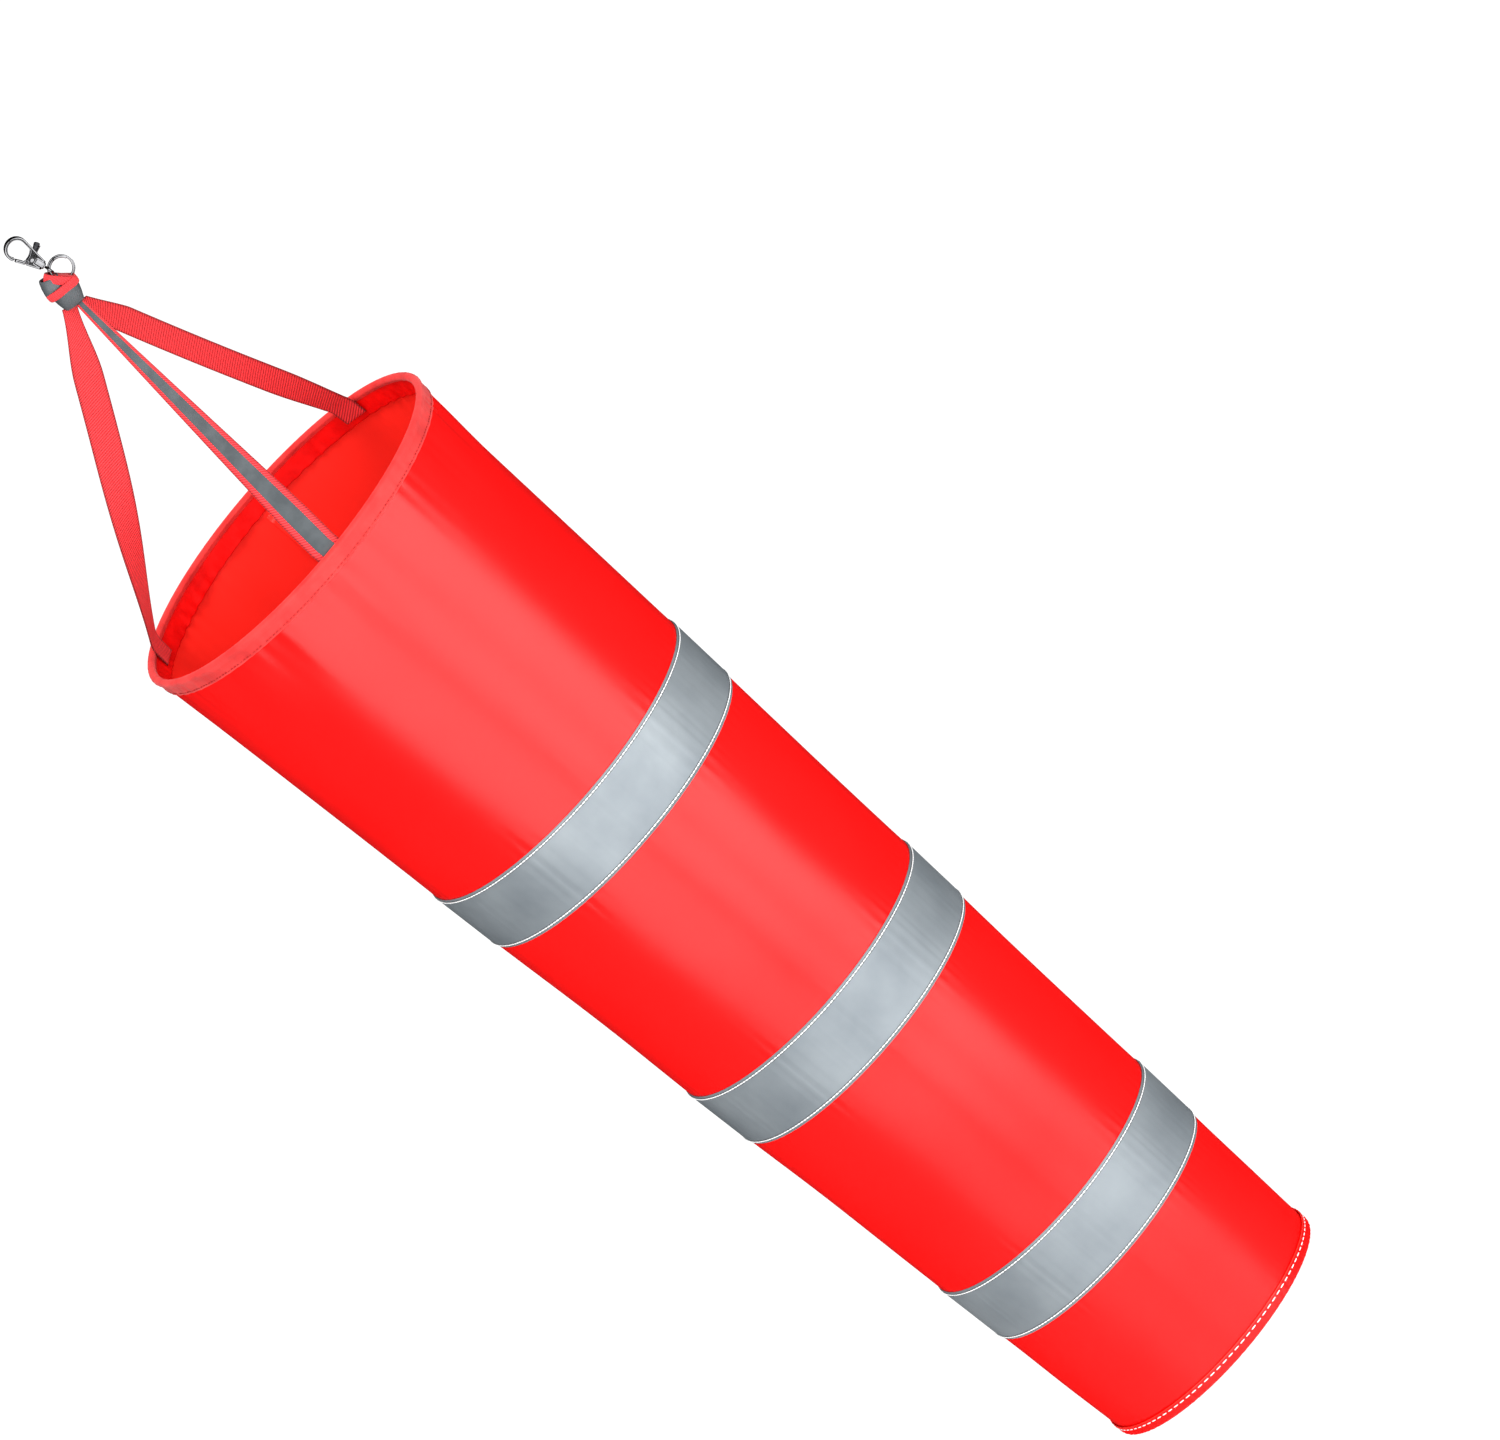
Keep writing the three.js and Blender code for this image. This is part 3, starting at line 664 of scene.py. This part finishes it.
def inner_hem():
    """The cloth's wide turned-in edge inside the mouth, gathered where it is sewn."""
    depth = np.linspace(6.5, BINDING_INNER_LEG, 20)
    path = [(cloth_radius(d) - 2.5, -d) for d in depth]

    def lower(height):
        return np.clip((-height - 7) / (BINDING_INNER_LEG - 7), 0, 1)

    def ripple(angle, height):
        return (0.5 * PUCKER(angle, height / 7) + 0.2 * FINE(angle)) * lower(height) - 0.4 * lower(height)

    def drop(angle, height):
        return 1.1 * SLOW(angle, 1) * lower(height) + 0.35 * PUCKER(angle) * lower(height)

    # The hem's material carries painted shade, a deeper red than the cloth's.
    return shell("inner_hem", path, 0.6, RED_HEM_PAINTED_SHADE, ripple, 480, drop)


def wire_hoop():
    angle = np.linspace(0, 2 * math.pi, 161)[:-1]
    turn = np.arange(10) * 2 * math.pi / 10
    radius = HOOP_RADIUS + HOOP_WIRE_RADIUS * np.cos(turn)[None, :]
    height = np.broadcast_to(-HOOP_DEPTH + HOOP_WIRE_RADIUS * np.sin(turn)[None, :], (160, 10))
    rings = np.stack([radius * np.sin(angle)[:, None], -radius * np.cos(angle)[:, None], height], 2)
    return loft("wire_hoop", rings, STEEL, closed=True)


def tail_fold():
    """The cloth's edge turned back twice."""
    start, end = SOCK_LENGTH - TAIL_HEM_LENGTH, SOCK_LENGTH
    outer = [(cloth_radius(d) + 0.4, -d) for d in np.linspace(start, end - 1, 10)]
    fold = [(cloth_radius(end) + 0.2, -end + 0.3), (cloth_radius(end) - 0.9, -end + 0.3)]
    inner = [(cloth_radius(d) - 1.8, -d) for d in np.linspace(end - 1, start, 10)]
    ripple = lambda angle, height: 0.25 * FINE(angle)
    return shell("tail_fold", outer + fold + inner, 0.6, RED_CLOTH, ripple, 320)


def build_tube():
    tube = finish_piece(cloth_tube(), "sock", "red_cloth", "sock_cloth")
    seam = finish_piece(seam_strip(), "sock", "red_cloth", "side_seam")
    binding = finish_piece(binding_tape(), "sock", "red_tape", "mouth_binding")
    inside_painted_light = finish_piece(inner_hem(), "sock", "red_tape", "mouth_binding")
    finish_piece(wire_hoop(), "sock", "steel", "mouth_hoop")
    hem = finish_piece(tail_fold(), "sock", "red_cloth", "tail_hem")
    sewn = [seam, binding, inside_painted_light, hem]
    for index, top in enumerate(BAND_TOPS, 1):
        band = reflective_band(index, top)
        sewn.append(finish_piece(band, "sock", "reflective_tape", f"reflective_band_{index}"))
        sewn += [finish_piece(row, "sock", "reflective_tape") for row in band_stitches(index, top)]
    mouth_radius = cloth_radius(BINDING_OUTER_LEG) + BINDING_STITCH_LIFT
    tail_radius = cloth_radius(SOCK_LENGTH - 7) + TAIL_STITCH_LIFT
    rows = (
        ring_of_stitches("mouth_stitches", mouth_radius, BINDING_OUTER_LEG - 2, 2.8, 1.2, 0.55, RED_THREAD),
        ring_of_stitches("tail_stitches", tail_radius, SOCK_LENGTH - 7.2, 4.8, 2.4, 0.5, WHITE_THREAD),
    )
    sewn += [finish_piece(row, "sock", "red_tape") for row in rows]


# ---- bridle -------------------------------------------------------------------------------------------


def strap_route(angle, start):
    """Points from the knot to the rim and down the inside of the binding."""
    turn = math.radians(angle)
    radial = np.array([math.sin(turn), -math.cos(turn), 0])
    start = np.array(RING_IN_SOCK) + np.array(start)
    rim = radial * (STRAP_RIM_RADIUS - 3) + np.array([0, 0, 5])
    knee = radial * STRAP_RIM_RADIUS
    sewn = radial * (STRAP_RIM_RADIUS + 0.2) + np.array([0, 0, -4])
    end = radial * (STRAP_RIM_RADIUS + 1.4) + np.array([0, 0, -STRAP_SEWN_LENGTH])
    t = np.linspace(0, 1, 80)[:, None]
    sag = -radial * 2.2 * np.sin(math.pi * t)
    leg = start + (rim - start) * t + sag
    s = np.linspace(0, 1, 10)[1:, None]
    bend = (1 - s) ** 2 * rim + 2 * s * (1 - s) * knee + s ** 2 * sewn
    down = sewn + (end - sewn) * np.linspace(0, 1, 8)[1:, None]
    return np.concatenate([leg, bend, down])


def smooth_step(x):
    x = np.clip(x, 0, 1)
    return x * x * (3 - 2 * x)


def strap_frames(points, angle, twist, twist_goes):
    """Across and out directions at each point; the strap is twisted at the knot and flat at the rim."""
    turn = math.radians(angle)
    around = np.array([math.cos(turn), math.sin(turn), 0])
    ahead = np.gradient(points, axis=0)
    ahead /= np.linalg.norm(ahead, axis=1)[:, None]
    across = around - (ahead @ around)[:, None] * ahead
    across /= np.linalg.norm(across, axis=1)[:, None]
    out = np.cross(ahead, across)
    run = arc_length(points)
    start, end = twist_goes
    spin = np.radians(twist) * smooth_step((end - run / run[-1]) / (end - start))
    cos, sin = np.cos(spin)[:, None], np.sin(spin)[:, None]
    return across * cos + out * sin, out * cos - across * sin


def arc_length(points):
    return np.append(0, np.cumsum(np.linalg.norm(np.diff(points, axis=0), axis=1)))


def strap(side, angle, start, neck, opening, sudden, twist, twist_goes):
    points = strap_route(angle, start)
    across, out = strap_frames(points, angle, twist, twist_goes)
    run = arc_length(points)
    opened = np.clip(run / opening, 0, 1)
    opened = opened + (smooth_step(opened) - opened) * sudden
    widths = neck + (STRAP_WIDTH - neck) * opened
    webbing = tape(f"webbing_{side}", points, across, out, widths, STRAP_THICKNESS, RED_WEBBING, crown=0.6)
    shown = run < run[-1] - STRAP_SEWN_LENGTH + 3
    lift = STRAP_THICKNESS / 2 + 0.5
    stripe = tape(f"stripe_{side}", (points + out * lift)[shown], across[shown], out[shown],
                  widths[shown] * STRIPE_SHARE, 0.5, STRIPE, crown=0.15)
    finish_piece(webbing, "sock", "red_webbing", f"strap_{side}")
    finish_piece(stripe, "sock", "stripe_tape", f"strap_{side}_stripe")


def wrap(name, centre, slope, half_length, half_depth, width, finish, taper=0.0, thickness=1.7):
    """A turn of webbing round the knot, as a closed loop in a plane that holds Y."""
    slope = math.radians(slope)
    along = np.array([math.cos(slope), 0, math.sin(slope)])
    side = np.array([-math.sin(slope), 0, math.cos(slope)])
    angle = np.arange(72) * 2 * math.pi / 72
    cos, sin = np.cos(angle), np.sin(angle)
    flat = np.abs(cos) ** 0.62 * np.sign(cos)
    depth = np.abs(sin) ** 0.7 * np.sign(sin)
    centres = (np.array([centre[0], 0, centre[1]]) + along * (half_length * flat)[:, None]
               + np.array([0, 1, 0]) * (half_depth * depth)[:, None])
    out = along * cos[:, None] / half_length + np.array([0, 1, 0]) * sin[:, None] / half_depth
    out /= np.linalg.norm(out, axis=1)[:, None]
    across = np.tile(side, (72, 1)) + out * taper
    across /= np.linalg.norm(across, axis=1)[:, None]
    return tape(name, centres, across, np.cross(across, np.cross(out, across)), np.full(72, float(width)),
                thickness, finish, closed=True, matrix=KNOT, crown=0.5)


def cast_copy(node, name, finish, voxel, smoothing=6, shrink=0.0):
    """A smooth copy of a CAD node: voxel remesh, rounded by smoothing."""
    source = frame["nodes"][node]
    piece = bpy.data.objects.new(name, source.data.copy())
    piece.data.materials.clear()
    piece.data.materials.append(finish)
    bpy.context.collection.objects.link(piece)
    remesh = piece.modifiers.new("remesh", "REMESH")
    remesh.mode = "VOXEL"
    remesh.voxel_size = voxel * MM
    remesh.use_smooth_shade = True
    smooth = piece.modifiers.new("smooth", "SMOOTH")
    smooth.iterations = smoothing
    if shrink:
        press = piece.modifiers.new("press", "DISPLACE")
        press.strength = -shrink * MM
        press.mid_level = 0
    return piece


def build_knot():
    core = cast_copy("bridle_knot", "knot_core", RED_WEBBING, 0.5, 8, 0.5)
    finish_piece(core, "sock", "red_webbing", "bridle_knot")
    turns = (
        wrap("knot_collar", (-12.6, -19.8), -14, 10.0, 8.0, 17, STRIPE, taper=0.26),
        wrap("knot_under_turn", (-15.2, -3.4), -23, 7.4, 7.4, 14, STRIPE),
        wrap("knot_top_turn", (-7.1, -5.0), -54, 12.0, 8.0, 7.4, RED_WEBBING),
        wrap("knot_cross_turn", (-11.2, -10.8), -11, 13.6, 9.7, 7.4, RED_WEBBING),
    )
    slots = ("stripe_tape", "stripe_tape", "red_webbing", "red_webbing")
    for turn, name in zip(turns, slots):
        finish_piece(turn, "sock", name)


# ---- hook and ring ------------------------------------------------------------------------------------


def split_ring():
    """Two turns of half-round wire that lie side by side, each end tapering off on the other turn."""
    ring = Matrix.Translation(RING_CENTRE) @ Matrix.Scale(MM, 4)
    turns, steps = 1.92, 260
    t = np.linspace(0, 1, steps)
    angle = 2 * math.pi * turns * t + math.radians(20)
    side_step = np.tanh((t - 0.5) * 14)
    out = np.stack([np.cos(angle), np.zeros(steps), np.sin(angle)], 1)
    section = np.arange(12) * 2 * math.pi / 12
    rings = []
    for share, step, direction in zip(t, side_step, out):
        taper = min(1, 0.35 + 14 * min(share, 1 - share))
        across = 0.95 * np.sign(np.cos(section)) * np.abs(np.cos(section)) ** 0.8
        depth = 0.6 * taper * np.sign(np.sin(section)) * np.abs(np.sin(section)) ** 0.8
        rings.append(direction * (RING_RADIUS + 0.3 + 0.5 * step) + across[:, None] * direction
                     + (0.66 * step + depth)[:, None] * np.array([0, 1, 0]))
    return loft("split_ring_turns", rings, CHROME, matrix=ring)


def thumb_grip():
    """The blackened, ribbed pad of the gate's thumb tab."""
    steps = np.linspace(0, 1, 30)
    ribs = 0.22 * np.abs(np.sin(4 * math.pi * steps))
    ends = np.sqrt(np.clip(1 - (2 * steps - 1) ** 8, 0.05, 1))
    section = np.arange(16) * 2 * math.pi / 16
    rings = []
    for step, rib, end in zip(steps, ribs, ends):
        x = 6.6 + 6.8 * step
        z = -12.9 + 1.6 * step
        height = (1.7 + 0.9 * step) * end
        depth = (1.25 + rib) * end
        up = height * np.sign(np.sin(section)) * np.abs(np.sin(section)) ** 0.6
        side = depth * np.sign(np.cos(section)) * np.abs(np.cos(section)) ** 0.6
        rings.append(np.stack([np.full(16, x) - 0.3 * up, side - 0.6, z + up], 1))
    return loft("thumb_grip", rings, DARK, matrix=HOOK)


def build_hook():
    parts = (
        ("hook_body", "hook", "hook_casting", CHROME, 0.2, 5),
        ("hook_gate", "gate", "gate_lever", CHROME, 0.16, 4),
        ("gate_pin", "hook", "pin_rivet", STEEL, 0.14, 3),
        ("swivel_eye", "swivel", "swivel_and_eye", CHROME, 0.16, 4),
    )
    slots = ("chrome", "chrome", "steel", "chrome")
    for (node, body, name, finish, voxel, smoothing), slot in zip(parts, slots):
        finish_piece(cast_copy(node, name, finish, voxel, smoothing), body, slot, node)
    finish_piece(thumb_grip(), "gate", "chrome")
    finish_piece(split_ring(), "ring", "chrome", "split_ring")
    for node in ("gate_spring", "hoop_ferrule"):
        frame["nodes"][node].data.materials.clear()
        frame["nodes"][node].data.materials.append(STEEL)


# ---- stage --------------------------------------------------------------------------------------------


def white_floor():
    """A plain round white floor, well below the hanging tail."""
    f = Finish("floor", 0.9, Emission_Color=(1, 1, 1, 1), Emission_Strength=0.9)
    f.colours(f.noise(0.5), (0.97, 0.97, 0.97), (1.0, 1.0, 1.0))
    turn = np.arange(96) * 2 * math.pi / 96
    rim = [(FLOOR_RADIUS * math.cos(a), FLOOR_RADIUS * math.sin(a), FLOOR_HEIGHT) for a in turn]
    floor = new_object("floor", rim, [tuple(range(96))], f.material, matrix=Matrix.Identity(4))
    floor.visible_glossy = False


def soft_light(name, place, size, power, aim, glossy):
    data = bpy.data.lights.new(name, "AREA")
    data.shape = "RECTANGLE"
    data.size, data.size_y = size
    data.energy = power
    light = bpy.data.objects.new(name, data)
    light.location = place
    light.rotation_euler = (Vector(aim) - Vector(place)).to_track_quat("-Z", "Y").to_euler()
    light.visible_glossy = glossy
    bpy.context.collection.objects.link(light)


def white_surround():
    """White to the eye, soft as a source of light, and dark in polished metal."""
    world = bpy.data.worlds.new("surround")
    world.use_nodes = True
    bpy.context.scene.world = world
    world.cycles.sampling_method = "NONE"
    nodes, links = world.node_tree.nodes, world.node_tree.links
    background = nodes["Background"]
    path = nodes.new("ShaderNodeLightPath")
    level = SURROUND_DIFFUSE
    for ray, strength in (("Is Glossy Ray", SURROUND_GLOSSY), ("Is Camera Ray", SURROUND_CAMERA)):
        pick = nodes.new("ShaderNodeMix")
        pick.inputs["B"].default_value = strength
        if isinstance(level, float):
            pick.inputs["A"].default_value = level
        else:
            links.new(level, pick.inputs["A"])
        links.new(path.outputs[ray], pick.inputs["Factor"])
        level = pick.outputs["Result"]
    links.new(level, background.inputs["Strength"])
    background.inputs["Color"].default_value = (1, 1, 1, 1)


def build_stage():
    bpy.context.scene.view_settings.view_transform = "Standard"
    bpy.context.scene.view_settings.look = "None"
    white_floor()
    white_surround()
    for name, azimuth, height, distance, size, power, glossy in LIGHTS:
        turn = math.radians(azimuth)
        place = (distance * math.sin(turn), -distance * math.cos(turn), height)
        soft_light(name, place, size, power, LIGHT_AIM, glossy)


# ---- scene --------------------------------------------------------------------------------------------

make_camera()
build_stage()
build_tube()
for row in STRAPS:
    strap(*row)
build_knot()
build_hook()
